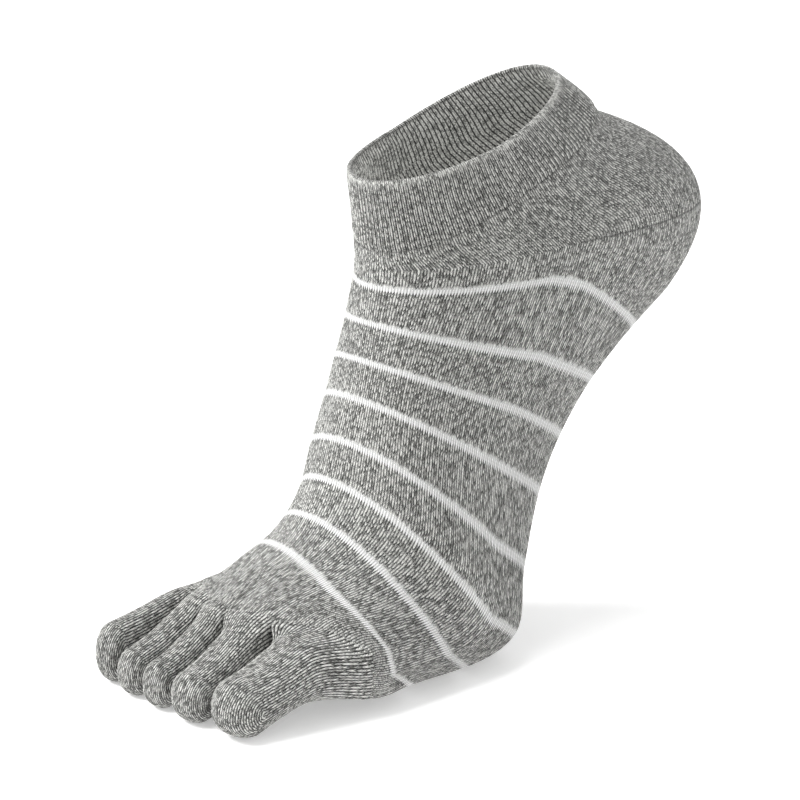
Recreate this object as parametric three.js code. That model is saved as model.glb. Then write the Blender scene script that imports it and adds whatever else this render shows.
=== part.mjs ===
// A low-cut knitted toe sock for the right foot, standing on its toes as if worn.
// Millimetres, +Z up. The toes point along -Y and the big toe's side is +X.
// The origin is the middle of the cuff's mouth.
import * as THREE from 'three';

// Driving dimensions of the foot that the sock is stretched to.
const heelReach = 112;        // from the back of the ball's rest on the floor to the back of the heel
const toeReach = 92;          // from the same point forward to the toe tips
const ankleRise = 118;        // from the floor up to the front of the heel pocket's top course
const ankleWidth = 56;        // across the ankle
const ballWidth = 78;         // across the ball of the foot
const toeRootHeight = 28;     // height of the toes where they leave the foot
const cuffHeight = 18.5;      // the double band at the mouth
const bandHeight = 4.5;       // plain courses between the cuff and the heel pocket

// Knit thicknesses and clearances.
const cuffWall = 2.2;         // the cuff is folded double
const cuffStep = 0.4;         // how far the cuff stands proud of the knit below it
const bodyWall = 1.4;
const heelWall = 1.6;
const toeWall = 1.2;
const seamGap = 0.3;          // between two pieces that are knitted together
const toeGap = 0.7;           // between neighbouring toes

// How finely the tubes are divided.
const bigToeEdges = 6;        // edges over the top of the big toe
const smallToeEdges = 4;      // edges over the top of each other toe
const sideEdges = 4;          // edges down each side of a toe and of the foot
const cuffCourses = 4;
const pocketCourses = 5;      // in each half of the heel pocket
const toeCourses = 7;
const tipCourses = 3;
const quarterSteps = 24;      // steps in which a quarter of a ring is measured

// The foot's tube bends twice, and each nearly straight length is a piece: its name and courses.
const footLengths = [['foot_instep', 7], ['foot_arch', 7], ['foot_ball', 7]];
const footCourses = footLengths.reduce((sum, [, courses]) => sum + courses, 0);

const knit = { colour: 0x9a9b98, roughness: 0.95, metalness: 0 };

// Rings of the tube. Each has a point on top, a point at its side and a point under the sole or
// behind the heel. y is a share of heelReach behind the ball and of toeReach ahead of it, z a share
// of ankleRise. ball goes from the ankle's width (0) to the ball's (1), of which medial and lateral
// are shares. back and drop say how far the little toe's side lies behind and below the other, in
// shares of ballWidth. The last two are the squareness of the upper and lower halves.
const ringColumns = ['along', 'topY', 'topZ', 'sideY', 'sideZ', 'soleY', 'soleZ',
  'ball', 'medial', 'lateral', 'back', 'drop', 'squareTop', 'squareSole'];
const footRings = [
  [0.00, -0.185, 0.996, 0.344, 1.011, 0.881, 0.744, 0.00, 0.509, 0.509, 0.00, 0.00, 2.0, 2.0],
  [0.10, -0.191, 0.949, 0.314, 0.936, 0.738, 0.676, 0.00, 0.500, 0.500, 0.00, 0.00, 2.0, 2.1],
  [0.21, -0.210, 0.864, 0.205, 0.754, 0.571, 0.581, 0.05, 0.490, 0.490, 0.00, 0.01, 2.0, 2.1],
  [0.32, -0.234, 0.775, 0.125, 0.636, 0.433, 0.466, 0.15, 0.482, 0.489, 0.00, 0.02, 2.0, 2.2],
  [0.44, -0.267, 0.678, 0.065, 0.492, 0.326, 0.331, 0.35, 0.467, 0.494, 0.04, 0.02, 2.0, 2.3],
  [0.55, -0.309, 0.576, 0.018, 0.314, 0.232, 0.169, 0.65, 0.464, 0.498, 0.08, 0.03, 2.0, 2.5],
  [0.66, -0.354, 0.466, -0.054, 0.153, 0.138, 0.034, 1.00, 0.470, 0.480, 0.13, 0.05, 2.0, 3.0],
  [0.77, -0.440, 0.376, -0.239, 0.102, -0.070, 0.003, 1.00, 0.474, 0.488, 0.15, 0.05, 2.0, 2.9],
  [0.88, -0.568, 0.312, -0.467, 0.102, -0.293, 0.003, 1.00, 0.464, 0.504, 0.16, 0.05, 2.0, 2.7],
];

// The leg's rings stand above the heel pocket's top course, which has its front, sides and width in
// common with the first foot ring. up is a share of the leg's length, and so are the offsets. sag
// lowers the lateral side in one smooth curve, as a share of the ankle's width.
const heelTop = { backY: 0.625, backZ: 1.257 };
const legColumns = ['up', 'topY', 'topZ', 'sideY', 'sideZ', 'backY', 'backZ',
  'medial', 'lateral', 'sag'];
const legRings = [
  [0.00, 0.00, 0.00, 0.00, 0.00, 0.00, 0.00, 0.509, 0.509, 0.00],
  [0.13, 0.02, 0.13, -0.65, 0.66, -0.075, 0.10, 0.470, 0.470, 0.03],
  [1.00, -0.11, 1.09, -1.06, 1.38, -0.7677, 0.6563, 0.390, 0.400, 0.06],
];

// The back of the heel, where the pocket's upper and lower halves meet.
const heelBack = { y: 1.009, z: 1.017 };

// Points between the toes where they leave the foot: x in shares of ballWidth, y of toeReach, z of
// toeRootHeight.
const rootColumns = ['x', 'topY', 'topZ', 'soleY', 'soleZ'];
const toeRoots = [
  [0.434, -0.530, 0.68, -0.540, 0.21],
  [0.128, -0.685, 0.93, -0.630, 0.16],
  [-0.083, -0.717, 0.89, -0.630, 0.12],
  [-0.237, -0.685, 0.87, -0.620, 0.11],
  [-0.391, -0.598, 0.84, -0.565, 0.11],
  [-0.526, -0.467, 0.64, -0.478, 0.21],
];

// The toes: hump, heights in shares of toeRootHeight, tip x and half width of ballWidth, reach of
// toeReach. nose is the length of the rounded end in half widths.
const toeColumns = ['name', 'edges', 'hump', 'tipX', 'tipHalf', 'reach', 'rootTop', 'tipTop',
  'rootSole', 'nose'];
const toeRows = [
  ['toe_big', bigToeEdges, 0.09, 0.236, 0.113, 1.000, 0.98, 0.61, 0.21, 1.00],
  ['toe_second', smallToeEdges, 0.065, 0.018, 0.094, 1.000, 1.00, 0.53, 0.11, 0.82],
  ['toe_third', smallToeEdges, 0.055, -0.164, 0.072, 0.990, 0.96, 0.50, 0.11, 0.95],
  ['toe_fourth', smallToeEdges, 0.055, -0.318, 0.071, 0.980, 0.93, 0.50, 0.11, 0.95],
  ['toe_little', smallToeEdges, 0.070, -0.470, 0.070, 0.960, 0.85, 0.64, 0.12, 1.05],
];

// How a toe's top falls from root to tip and how its underside comes down to the pad.
const toeProfile = { along: [0, 0.25, 0.5, 0.75, 1], fall: [0, 0.2, 0.5, 0.8, 1],
  arch: [1, 1.1, 1, 0.6, 0.05] };
const toeSquareness = 2.3;
const toeBlend = 0.45;        // share of a toe in which its root's shape fades
const rootBlend = 0.18;       // share of the foot in which the toe roots' humps fade in
const sideSwell = 0.015;      // swell of the foot's sides at the toe roots, of ballWidth
const crotchBow = 0.04;       // how far the knit between two toes bows back, of toeRootHeight
const noseDrop = 0.03;        // how far a tip lies below its section's middle, of toeRootHeight
const endSquareTop = 2.1;
const endSquareSole = 2.6;
const lipRise = 0.3;          // height of the rounded lip at the mouth, in cuff walls

const asRecord = (columns, row) => Object.fromEntries(columns.map((name, i) => [name, row[i]]));
const mix = (a, b, t) => a + (b - a) * t;
const ease = (t) => {
  const s = Math.min(Math.max(t, 0), 1);
  return s * s * (3 - 2 * s);
};
const power = (value, squareness) => Math.sign(value) * Math.abs(value) ** (2 / squareness);
const alongY = (share) => share * (share < 0 ? toeReach : heelReach);

// A smooth curve through rows of numbers, read at x, that never swings past a row.
function curveAt(x, xs, rows) {
  const slope = (i) => rows[i].map((value, c) => (rows[i + 1][c] - value) / (xs[i + 1] - xs[i]));
  const tangent = (i) => {
    if (i === 0) return slope(0);
    if (i === rows.length - 1) return slope(i - 1);
    const before = xs[i] - xs[i - 1];
    const after = xs[i + 1] - xs[i];
    const next = slope(i);
    return slope(i - 1).map((s, c) => {
      if (s * next[c] <= 0) return 0;
      const even = (s * after + next[c] * before) / (before + after);
      return Math.sign(s) * Math.min(Math.abs(even), 3 * Math.abs(s), 3 * Math.abs(next[c]));
    });
  };
  let i = 0;
  while (i < xs.length - 2 && x > xs[i + 1]) i += 1;
  const step = xs[i + 1] - xs[i];
  const t = (x - xs[i]) / step;
  const start = tangent(i);
  const end = tangent(i + 1);
  return rows[i].map((value, c) => (2 * t ** 3 - 3 * t ** 2 + 1) * value
    + (t ** 3 - 2 * t ** 2 + t) * step * start[c]
    + (3 * t ** 2 - 2 * t ** 3) * rows[i + 1][c] + (t ** 3 - t ** 2) * step * end[c]);
}

// A ring in millimetres: [topY, topZ, sideY, sideZ, soleY, soleZ, medial, lateral, back, drop,
// squareTop, squareSole, sag].
function footRing(row) {
  const r = asRecord(ringColumns, row);
  const width = mix(ankleWidth, ballWidth, r.ball);
  return [alongY(r.topY), r.topZ * ankleRise, alongY(r.sideY), r.sideZ * ankleRise,
    alongY(r.soleY), r.soleZ * ankleRise, r.medial * width, r.lateral * width,
    r.back * ballWidth, r.drop * ballWidth, r.squareTop, r.squareSole, 0];
}

const footRows = footRings.map(footRing);
const legLength = cuffHeight + bandHeight;
const heelTopRow = [...footRows[0].slice(0, 4), heelTop.backY * heelReach,
  heelTop.backZ * ankleRise, ...footRows[0].slice(6)];

function legRow(row) {
  const r = asRecord(legColumns, row);
  const h = heelTopRow;
  return [h[0] + r.topY * legLength, h[1] + r.topZ * legLength, h[2] + r.sideY * legLength,
    h[3] + r.sideZ * legLength, h[4] + r.backY * legLength, h[5] + r.backZ * legLength,
    r.medial * ankleWidth, r.lateral * ankleWidth, 0, 0, 2, 2, r.sag * ankleWidth];
}

const legRows = legRings.map(legRow);
const legPlaces = legRings.map((row) => row[0]);

// The toe roots' points, and the plain ring that the foot would end in without them.
const roots = toeRoots.map((row) => {
  const r = asRecord(rootColumns, row);
  return { x: r.x * ballWidth, topY: r.topY * toeReach, topZ: r.topZ * toeRootHeight,
    soleY: r.soleY * toeReach, soleZ: r.soleZ * toeRootHeight };
});
const toes = toeRows.map((row) => asRecord(toeColumns, row));

function endRing() {
  const middle = roots[2];
  const first = roots[0];
  const last = roots[roots.length - 1];
  const topZ = middle.topZ + toes[1].hump * toeRootHeight * 2;
  return [middle.topY, topZ, (first.topY + first.soleY) / 2, (first.topZ + first.soleZ) / 2,
    middle.soleY, middle.soleZ, first.x, -last.x, last.topY - first.topY,
    (first.topZ + first.soleZ - last.topZ - last.soleZ) / 2, endSquareTop, endSquareSole, 0];
}

const tubeRows = [...footRows, endRing()];
const tubePlaces = [...footRings.map((row) => row[0]), 1];

// One quarter of a ring as points with the distance run so far. quarter 0 runs from the medial side
// to the top, 1 to the lateral side, 2 to the sole and 3 back to the medial side.
function ringQuarter(row, quarter) {
  const [topY, topZ, sideY, sideZ, soleY, soleZ, medial, lateral, back, drop, square, squareLow,
    sag] = row;
  const upper = quarter < 2;
  const inner = quarter === 0 || quarter === 3;
  const rising = quarter % 2 === 0;
  const middleY = inner ? sideY : sideY + back;
  const middleZ = inner ? sideZ : sideZ - drop;
  const endY = upper ? topY : soleY;
  const endZ = upper ? topZ : soleZ;
  const n = upper ? square : squareLow;
  const points = [];
  let run = 0;
  for (let i = 0; i <= quarterSteps; i += 1) {
    const angle = (i / quarterSteps) * (Math.PI / 2);
    const toEnd = power(rising ? Math.sin(angle) : Math.cos(angle), n);
    const toSide = power(rising ? Math.cos(angle) : Math.sin(angle), n);
    const sunk = inner ? 0 : sag * (1 - toEnd ** 2);
    const point = new THREE.Vector3(toSide * (inner ? medial : -lateral),
      mix(middleY, endY, toEnd), mix(middleZ, endZ, toEnd) - sunk);
    if (i > 0) run += point.distanceTo(points[i - 1].point);
    points.push({ point, run });
  }
  return points;
}

// Points spread evenly over each quarter of a ring, at shares of the way round.
function ringPoints(row, shares) {
  const quarters = [0, 1, 2, 3].map((quarter) => ringQuarter(row, quarter));
  return shares.map((share) => {
    const quarter = Math.min(Math.floor(share * 4), 3);
    const points = quarters[quarter];
    const run = (share * 4 - quarter) * points[quarterSteps].run;
    let i = 1;
    while (i < quarterSteps && points[i].run < run) i += 1;
    const a = points[i - 1];
    const b = points[i];
    return a.point.clone().lerp(b.point, (run - a.run) / (b.run - a.run));
  });
}

// The whole knit as one skin: shared vertices, and quads that know their piece.
const vertices = [];
const faces = [];
const crotchVertices = new Set();
const cornerVertices = new Set();
const addPoints = (points) => points.map((point) => vertices.push(point) - 1);

function addBand(upper, lower, piece) {
  upper.forEach((id, j) => {
    const k = (j + 1) % upper.length;
    faces.push({ piece, corners: [id, upper[k], lower[k], lower[j]] });
  });
}

const topEdges = toes.reduce((sum, toe) => sum + toe.edges, 0);
const around = 2 * topEdges + 2 * sideEdges;
const shares = Array.from({ length: around }, (_, j) => ((j + sideEdges / 2) / around) % 1);
const lateralColumn = topEdges + sideEdges / 2;
const medialColumn = around - sideEdges / 2;
const toeStarts = toes.map((_, k) => toes.slice(0, k).reduce((sum, toe) => sum + toe.edges, 0));
toeStarts.push(topEdges);
const soleColumn = (topColumn) => (2 * topEdges + sideEdges - topColumn) % around;

// The cuff and the few plain courses under it.
function addLeg() {
  const place = (fromMouth) => 1 - fromMouth / legLength;
  const ring = (fromMouth) => addPoints(ringPoints(
    curveAt(place(fromMouth), legPlaces, legRows), shares));
  let last = ring(0);
  for (let i = 1; i <= cuffCourses; i += 1) {
    const next = ring((cuffHeight * i) / cuffCourses);
    addBand(last, next, 'cuff');
    last = next;
  }
  const heelLine = ring(legLength);
  addBand(last, heelLine, 'ankle_band');
  return heelLine;
}

// The heel pocket fills the back half between the leg's last ring and the foot's first.
function addPocket(heelLine) {
  const first = [heelTopRow[4], heelTopRow[5]];
  const end = [footRows[0][4], footRows[0][5]];
  const back = [heelBack.y * heelReach, heelBack.z * ankleRise];
  const control = back.map((value, c) => 2 * value - (first[c] + end[c]) / 2);
  let last = heelLine;
  const courses = 2 * pocketCourses;
  for (let i = 1; i <= courses; i += 1) {
    const t = i / courses;
    const row = heelTopRow.slice();
    [0, 1].forEach((c) => {
      row[4 + c] = (1 - t) ** 2 * first[c] + 2 * t * (1 - t) * control[c] + t ** 2 * end[c];
    });
    const points = ringPoints(row, shares);
    const next = heelLine.slice();
    for (let j = lateralColumn + 1; j < medialColumn; j += 1) [next[j]] = addPoints([points[j]]);
    for (let j = lateralColumn; j < medialColumn; j += 1) {
      faces.push({ piece: 'heel_pocket', corners: [last[j], last[j + 1], next[j + 1], next[j]] });
    }
    last = next;
  }
  return last;
}

// The ring of toe roots: a hump for each toe on top, a shallow one under it, and swelling sides.
function rootRing() {
  const points = [];
  toes.forEach((toe, k) => {
    const a = roots[k];
    const b = roots[k + 1];
    for (let i = 0; i <= toe.edges; i += 1) {
      const t = i / toe.edges;
      const hump = toe.hump * toeRootHeight * Math.sin(Math.PI * t);
      const column = toeStarts[k] + i;
      const x = mix(a.x, b.x, t);
      points[column] = new THREE.Vector3(x, mix(a.topY, b.topY, t), mix(a.topZ, b.topZ, t) + hump);
      points[soleColumn(column)] = new THREE.Vector3(x, mix(a.soleY, b.soleY, t),
        mix(a.soleZ, b.soleZ, t) - hump / 3);
    }
  });
  [[topEdges, -1], [around - sideEdges, 1]].forEach(([start, sign]) => {
    const from = points[start];
    const to = points[(start + sideEdges) % around];
    for (let i = 1; i < sideEdges; i += 1) {
      const point = from.clone().lerp(to, i / sideEdges);
      point.x += sign * sideSwell * ballWidth * Math.sin((Math.PI * i) / sideEdges);
      points[start + i] = point;
    }
  });
  return points;
}

function addFoot(firstRing) {
  const rootPoints = rootRing();
  const plainEnd = ringPoints(tubeRows[tubeRows.length - 1], shares);
  const names = footLengths.flatMap(([name, courses]) => Array(courses).fill(name));
  let last = firstRing;
  names.forEach((name, i) => {
    const place = (i + 1) / footCourses;
    const share = ease(1 - (1 - place) / rootBlend);
    const points = ringPoints(curveAt(place, tubePlaces, tubeRows), shares);
    points.forEach((point, j) => {
      point.addScaledVector(rootPoints[j], share).addScaledVector(plainEnd[j], -share);
    });
    const next = addPoints(points);
    addBand(last, next, name);
    last = next;
  });
  return last;
}

// The short curves of knit between two toes, from the top of the foot to the sole.
function addCrotches(rootLine) {
  return toeStarts.slice(1, -1).map((column) => {
    const top = vertices[rootLine[column]];
    const sole = vertices[rootLine[soleColumn(column)]];
    const points = [];
    for (let i = 1; i < sideEdges; i += 1) {
      const point = top.clone().lerp(sole, i / sideEdges);
      point.y += crotchBow * toeRootHeight * Math.sin((Math.PI * i) / sideEdges);
      points.push(point);
    }
    const ids = addPoints(points);
    ids.forEach((id) => crotchVertices.add(id));
    const corners = [rootLine[column], rootLine[soleColumn(column)]];
    corners.forEach((id) => cornerVertices.add(id));
    return [corners[0], ...ids, corners[1]];
  });
}

// One toe: its root's shape fades into rounded sections that end in a blunt nose.
function addToe(k, rootLine, crotches) {
  const toe = toes[k];
  const start = toeStarts[k];
  const columns = Array.from({ length: toe.edges + 1 }, (_, i) => start + i);
  const top = columns.map((column) => rootLine[column]);
  const sole = columns.map((column) => rootLine[soleColumn(column)]).reverse();
  const sides = Array.from({ length: sideEdges + 1 }, (_, i) => i);
  const outerSide = k < toes.length - 1 ? crotches[k] : sides.map((i) => rootLine[topEdges + i]);
  const innerSide = k > 0 ? crotches[k - 1] : sides.map((i) => rootLine[(around - i) % around]);
  const root = [...top.slice(0, -1), ...outerSide.slice(0, -1), ...sole.slice(0, -1),
    ...innerSide.slice().reverse().slice(0, -1)];
  const rootPoints = root.map((id) => vertices[id].clone());
  const rootY = rootPoints.reduce((sum, point) => sum + point.y, 0) / root.length;
  const tipHalf = toe.tipHalf * ballWidth;
  const nose = toe.nose * tipHalf;
  const endY = -toe.reach * toeReach + nose;
  const rootX = (roots[k].x + roots[k + 1].x) / 2;
  const rootHalf = (roots[k].x - roots[k + 1].x - toeGap) / 2;

  const section = (t) => {
    const rows = toeProfile.along.map((_, i) => [toeProfile.fall[i], toeProfile.arch[i]]);
    const [fall, arch] = curveAt(t, toeProfile.along, rows);
    const high = mix(toe.rootTop, toe.tipTop, fall) * toeRootHeight;
    const low = toe.rootSole * arch * toeRootHeight;
    const middleX = mix(rootX, toe.tipX * ballWidth, t);
    const half = mix(rootHalf, tipHalf, t);
    return root.map((_, i) => {
      const angle = ((i - toe.edges / 2) / root.length) * 2 * Math.PI;
      return new THREE.Vector3(middleX - half * power(Math.sin(angle), toeSquareness),
        mix(rootY, endY, t), (high + low) / 2 + ((high - low) / 2) * power(Math.cos(angle), toeSquareness));
    });
  };

  const plainRoot = section(0);
  let last = root;
  for (let i = 1; i <= toeCourses; i += 1) {
    const t = i / toeCourses;
    const share = ease(1 - t / toeBlend);
    const points = section(t);
    points.forEach((point, j) => {
      point.addScaledVector(rootPoints[j], share).addScaledVector(plainRoot[j], -share);
    });
    const next = addPoints(points);
    addBand(last, next, toe.name);
    last = next;
  }
  const end = section(1);
  const middle = end.reduce((sum, point) => sum.add(point), new THREE.Vector3())
    .divideScalar(end.length);
  middle.z -= noseDrop * toeRootHeight;
  for (let i = 1; i < tipCourses; i += 1) {
    const angle = ((i / tipCourses) * Math.PI) / 2;
    const next = addPoints(end.map((point) => {
      const moved = middle.clone().lerp(point, Math.cos(angle));
      moved.y = endY - nose * Math.sin(angle);
      return moved;
    }));
    addBand(last, next, toe.name);
    last = next;
  }
  const [tip] = addPoints([new THREE.Vector3(middle.x, endY - nose, middle.z)]);
  last.forEach((id, j) => {
    faces.push({ piece: toe.name, corners: [id, last[(j + 1) % last.length], tip] });
  });
}

// Corner triangles of a face, without the corners that fall together.
function trianglesOf(face) {
  const corners = face.corners.filter((id, i, all) => all.indexOf(id) === i);
  return corners.slice(1, -1).map((id, i) => [corners[0], id, corners[i + 2]]);
}

function normalsOf(triangles) {
  const normals = new Map();
  triangles.forEach(([a, b, c]) => {
    const normal = vertices[b].clone().sub(vertices[a])
      .cross(vertices[c].clone().sub(vertices[a]));
    [a, b, c].forEach((id) => {
      if (!normals.has(id)) normals.set(id, new THREE.Vector3());
      normals.get(id).add(normal);
    });
  });
  normals.forEach((normal) => normal.normalize());
  return normals;
}

// Turns the faces of one piece into a closed shell of knit with its own thickness, drawn back from
// its neighbours by half a seam gap.
function shellOf(piece, wall, skinNormals, mouthLine) {
  const proud = piece === 'cuff' ? cuffStep : 0;
  const triangles = faces.filter((face) => face.piece === piece).flatMap(trianglesOf);
  const ownNormals = normalsOf(triangles);
  const edgeKey = (a, b) => `${a}_${b}`;
  const edges = new Map();
  triangles.forEach(([a, b, c]) => {
    [[a, b], [b, c], [c, a]].forEach(([from, to]) => edges.set(edgeKey(from, to), [from, to]));
  });
  const rim = [...edges.values()].filter(([a, b]) => !edges.has(edgeKey(b, a)));

  const isToe = toes.some((toe) => toe.name === piece);
  const turnsIn = (id) => crotchVertices.has(id) || (isToe && cornerVertices.has(id));
  const normalAt = (id) => (turnsIn(id) ? ownNormals : skinNormals).get(id);
  const inward = new Map();
  rim.forEach(([a, b]) => {
    const run = vertices[b].clone().sub(vertices[a]).normalize();
    [a, b].forEach((id) => {
      if (!inward.has(id)) inward.set(id, new THREE.Vector3());
      inward.get(id).add(ownNormals.get(id).clone().cross(run));
    });
  });

  const ids = [...ownNormals.keys()];
  const index = new Map(ids.map((id, i) => [id, i]));
  const outer = ids.map((id) => {
    const point = vertices[id].clone().addScaledVector(normalAt(id), proud);
    if (crotchVertices.has(id)) return point.addScaledVector(ownNormals.get(id), -seamGap / 2);
    if (inward.has(id) && !mouthLine.has(id)) {
      point.addScaledVector(inward.get(id).normalize(), seamGap / 2);
    }
    return point;
  });
  const inner = ids.map((id, i) => outer[i].clone().addScaledVector(normalAt(id), -wall - proud));

  const points = [...outer, ...inner];
  const corners = [];
  const count = ids.length;
  triangles.forEach(([a, b, c]) => {
    const [i, j, k] = [a, b, c].map((id) => index.get(id));
    corners.push([i, j, k], [i + count, k + count, j + count]);
  });
  const lip = new Map();
  rim.forEach(([a, b]) => {
    const [i, j] = [index.get(a), index.get(b)];
    if (!mouthLine.has(a)) {
      corners.push([j, i, i + count], [j, i + count, j + count]);
      return;
    }
    [[a, i], [b, j]].forEach(([id, at]) => {
      if (lip.has(id)) return;
      const middle = outer[at].clone().lerp(inner[at], 0.5)
        .addScaledVector(inward.get(id).clone().normalize(), -lipRise * wall);
      lip.set(id, points.push(middle) - 1);
    });
    const [l, m] = [lip.get(a), lip.get(b)];
    corners.push([j, i, l], [j, l, m], [m, l, i + count], [m, i + count, j + count]);
  });
  return { points, corners };
}

const heelLine = addLeg();
const mouthLine = new Set(Array.from({ length: around }, (_, j) => j));
const rootLine = addFoot(addPocket(heelLine));
const crotches = addCrotches(rootLine);
toes.forEach((_, k) => addToe(k, rootLine, crotches));

const mouthRow = legRows[legRows.length - 1];
const mouth = new THREE.Vector3(0, (mouthRow[0] + mouthRow[4]) / 2, (mouthRow[1] + mouthRow[5]) / 2);
const skinNormals = normalsOf(faces.flatMap(trianglesOf));

function knitMesh(name, wall) {
  const { points, corners } = shellOf(name, wall, skinNormals, mouthLine);
  const geometry = new THREE.BufferGeometry();
  const flat = points.flatMap((point) => point.clone().sub(mouth).toArray());
  geometry.setAttribute('position', new THREE.Float32BufferAttribute(flat, 3));
  geometry.setIndex(corners.flat());
  geometry.computeVertexNormals();
  const material = new THREE.MeshStandardMaterial({ color: knit.colour,
    roughness: knit.roughness, metalness: knit.metalness });
  const mesh = new THREE.Mesh(geometry, material);
  mesh.name = name;
  return mesh;
}

const group = new THREE.Group();
group.add(knitMesh('cuff', cuffWall), knitMesh('ankle_band', bodyWall));
group.add(knitMesh('heel_pocket', heelWall));
footLengths.forEach(([name]) => group.add(knitMesh(name, bodyWall)));
toes.forEach((toe) => group.add(knitMesh(toe.name, toeWall)));

export default group;
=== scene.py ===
import math
import bpy
import numpy as np
from mathutils import Matrix, Vector


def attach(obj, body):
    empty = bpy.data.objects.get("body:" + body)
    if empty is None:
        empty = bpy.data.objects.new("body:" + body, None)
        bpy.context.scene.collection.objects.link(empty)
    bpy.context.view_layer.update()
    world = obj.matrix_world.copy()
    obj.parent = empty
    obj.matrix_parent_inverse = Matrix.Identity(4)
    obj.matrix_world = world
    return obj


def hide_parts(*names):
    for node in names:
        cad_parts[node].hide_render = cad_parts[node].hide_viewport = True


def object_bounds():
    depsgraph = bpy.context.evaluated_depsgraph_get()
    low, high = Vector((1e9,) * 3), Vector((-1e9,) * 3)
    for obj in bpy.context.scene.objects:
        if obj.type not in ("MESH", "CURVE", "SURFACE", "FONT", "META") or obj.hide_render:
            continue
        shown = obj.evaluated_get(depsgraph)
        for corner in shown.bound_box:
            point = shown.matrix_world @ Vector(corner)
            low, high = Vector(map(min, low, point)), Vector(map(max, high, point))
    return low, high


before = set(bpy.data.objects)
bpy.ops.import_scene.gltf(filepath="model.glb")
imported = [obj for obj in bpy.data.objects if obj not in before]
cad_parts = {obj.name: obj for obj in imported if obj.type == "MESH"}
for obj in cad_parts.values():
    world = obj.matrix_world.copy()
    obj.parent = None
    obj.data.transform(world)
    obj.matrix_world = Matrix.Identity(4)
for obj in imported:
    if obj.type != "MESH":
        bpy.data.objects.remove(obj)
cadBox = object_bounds()

# Toe sock, right foot, low cut, worn shape on tiptoe.
# The form below is worked out in millimetres, then moved so the cuff's mouth is the origin.

# what the sock is stretched to, mm
foot = {
    "heelReach": 112,      # ball's rest back to the heel
    "toeReach": 92,        # ball's rest forward to the toe tips
    "ankleRise": 118,
    "ankleWidth": 56,
    "ballWidth": 78,
    "toeRootHeight": 28,
}

# how it is knitted
knit = {
    "columnsPerEdge": 13,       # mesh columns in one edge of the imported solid
    "wales": 288,               # fine raised lines round the leg and foot, about 0.7 mm apart
    "toeWale": 0.8,             # mm, a wale on the toes
    "toeCoursesPerRow": 1.4,    # courses to a mesh row on the toes
    "courseHeight": 0.62,       # mm
    "stripeRepeat": 20,         # courses from one pale stripe to the next
    "stripeCourses": 3,
    "stripes": 8,
    "rise": 1.5,                # how far a stitch's legs climb, in courses
    "footRows": 89,             # mesh rows from the first stripe to the toes
}

# rings of the foot, as shares: along, topY, topZ, sideY, sideZ, soleY, soleZ, ball, medial, lateral,
# back and drop of the lateral side, squareTop, squareSole
footRings = [
    [0.00, -0.185, 0.996, 0.344, 1.011, 0.881, 0.744, 0.00, 0.509, 0.509, 0.00, 0.00, 2.0, 2.0],
    [0.10, -0.191, 0.949, 0.314, 0.936, 0.738, 0.676, 0.00, 0.500, 0.500, 0.00, 0.00, 2.0, 2.1],
    [0.21, -0.210, 0.864, 0.205, 0.754, 0.571, 0.581, 0.05, 0.490, 0.490, 0.00, 0.01, 2.0, 2.1],
    [0.32, -0.234, 0.775, 0.125, 0.636, 0.433, 0.466, 0.15, 0.482, 0.489, 0.00, 0.02, 2.0, 2.2],
    [0.44, -0.267, 0.678, 0.065, 0.492, 0.326, 0.331, 0.35, 0.467, 0.494, 0.04, 0.02, 2.0, 2.3],
    [0.55, -0.309, 0.576, 0.018, 0.314, 0.232, 0.169, 0.65, 0.464, 0.498, 0.08, 0.03, 2.0, 2.5],
    [0.66, -0.354, 0.466, -0.054, 0.153, 0.138, 0.034, 1.00, 0.470, 0.480, 0.13, 0.05, 2.0, 3.0],
    [0.77, -0.440, 0.376, -0.239, 0.102, -0.070, 0.003, 1.00, 0.474, 0.488, 0.15, 0.05, 2.0, 2.9],
    [0.88, -0.568, 0.312, -0.467, 0.102, -0.293, 0.003, 1.00, 0.464, 0.504, 0.16, 0.05, 2.0, 2.7],
]
firstStripe = 0.10      # where the first pale stripe lies along the foot
stripeStep = 0.1114

# leg rings above the heel, offsets in shares of the leg: up, topY, topZ, sideY, sideZ, backY, backZ,
# medial, lateral, sag of the lateral side
legRings = [
    [0.00, 0.00, 0.00, 0.00, 0.00, 0.00, 0.00, 0.509, 0.509, 0.00],
    [0.13, 0.02, 0.13, -0.65, 0.66, -0.075, 0.10, 0.470, 0.470, 0.03],
    [1.00, -0.11, 1.09, -1.06, 1.38, -0.7677, 0.6563, 0.390, 0.400, 0.06],
]
heel = {
    "topBackY": 0.625,  # back of the heel line, shares of heelReach and ankleRise
    "topBackZ": 1.257,
    "backY": 1.009,     # the heel's rearmost place, the same way
    "backZ": 1.017,
    "rows": 80,
    "goreRow": 47,      # mesh row where its courses turn
}
band = {"height": 4.5, "rows": 14}      # plain courses under the cuff, mm
cuff = {
    "height": 18.5,
    "rows": 24,
    "wall": 2.2,
    "rimWall": 1.2,     # thinner where it is folded over
    "rimDepth": 4.0,    # mm over which it thins and its wales flatten out
    "proud": 0.4,       # stands this far out of the knit below
    "lipRows": 7,
    "edge": 1.6,        # mm over which its lower edge turns in
    "foldCourses": 2.3, # courses of the fold at the rim
    "lipCourse": 0.8,   # courses from one row of the lip to the next
    "lipRound": 0.9,    # height of the lip's curve to its half thickness
    "edgeTuck": 0.15,   # mm that the lower edge sinks into the knit below
    "insideStart": 0.3, # courses at the top of the inside
}

# between the toes at their roots: x, topY, topZ, soleY, soleZ
toeRoots = [
    [0.434, -0.530, 0.68, -0.540, 0.21],
    [0.128, -0.685, 0.93, -0.630, 0.16],
    [-0.083, -0.717, 0.89, -0.630, 0.12],
    [-0.237, -0.685, 0.87, -0.620, 0.11],
    [-0.391, -0.598, 0.84, -0.565, 0.11],
    [-0.526, -0.467, 0.64, -0.478, 0.21],
]
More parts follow.
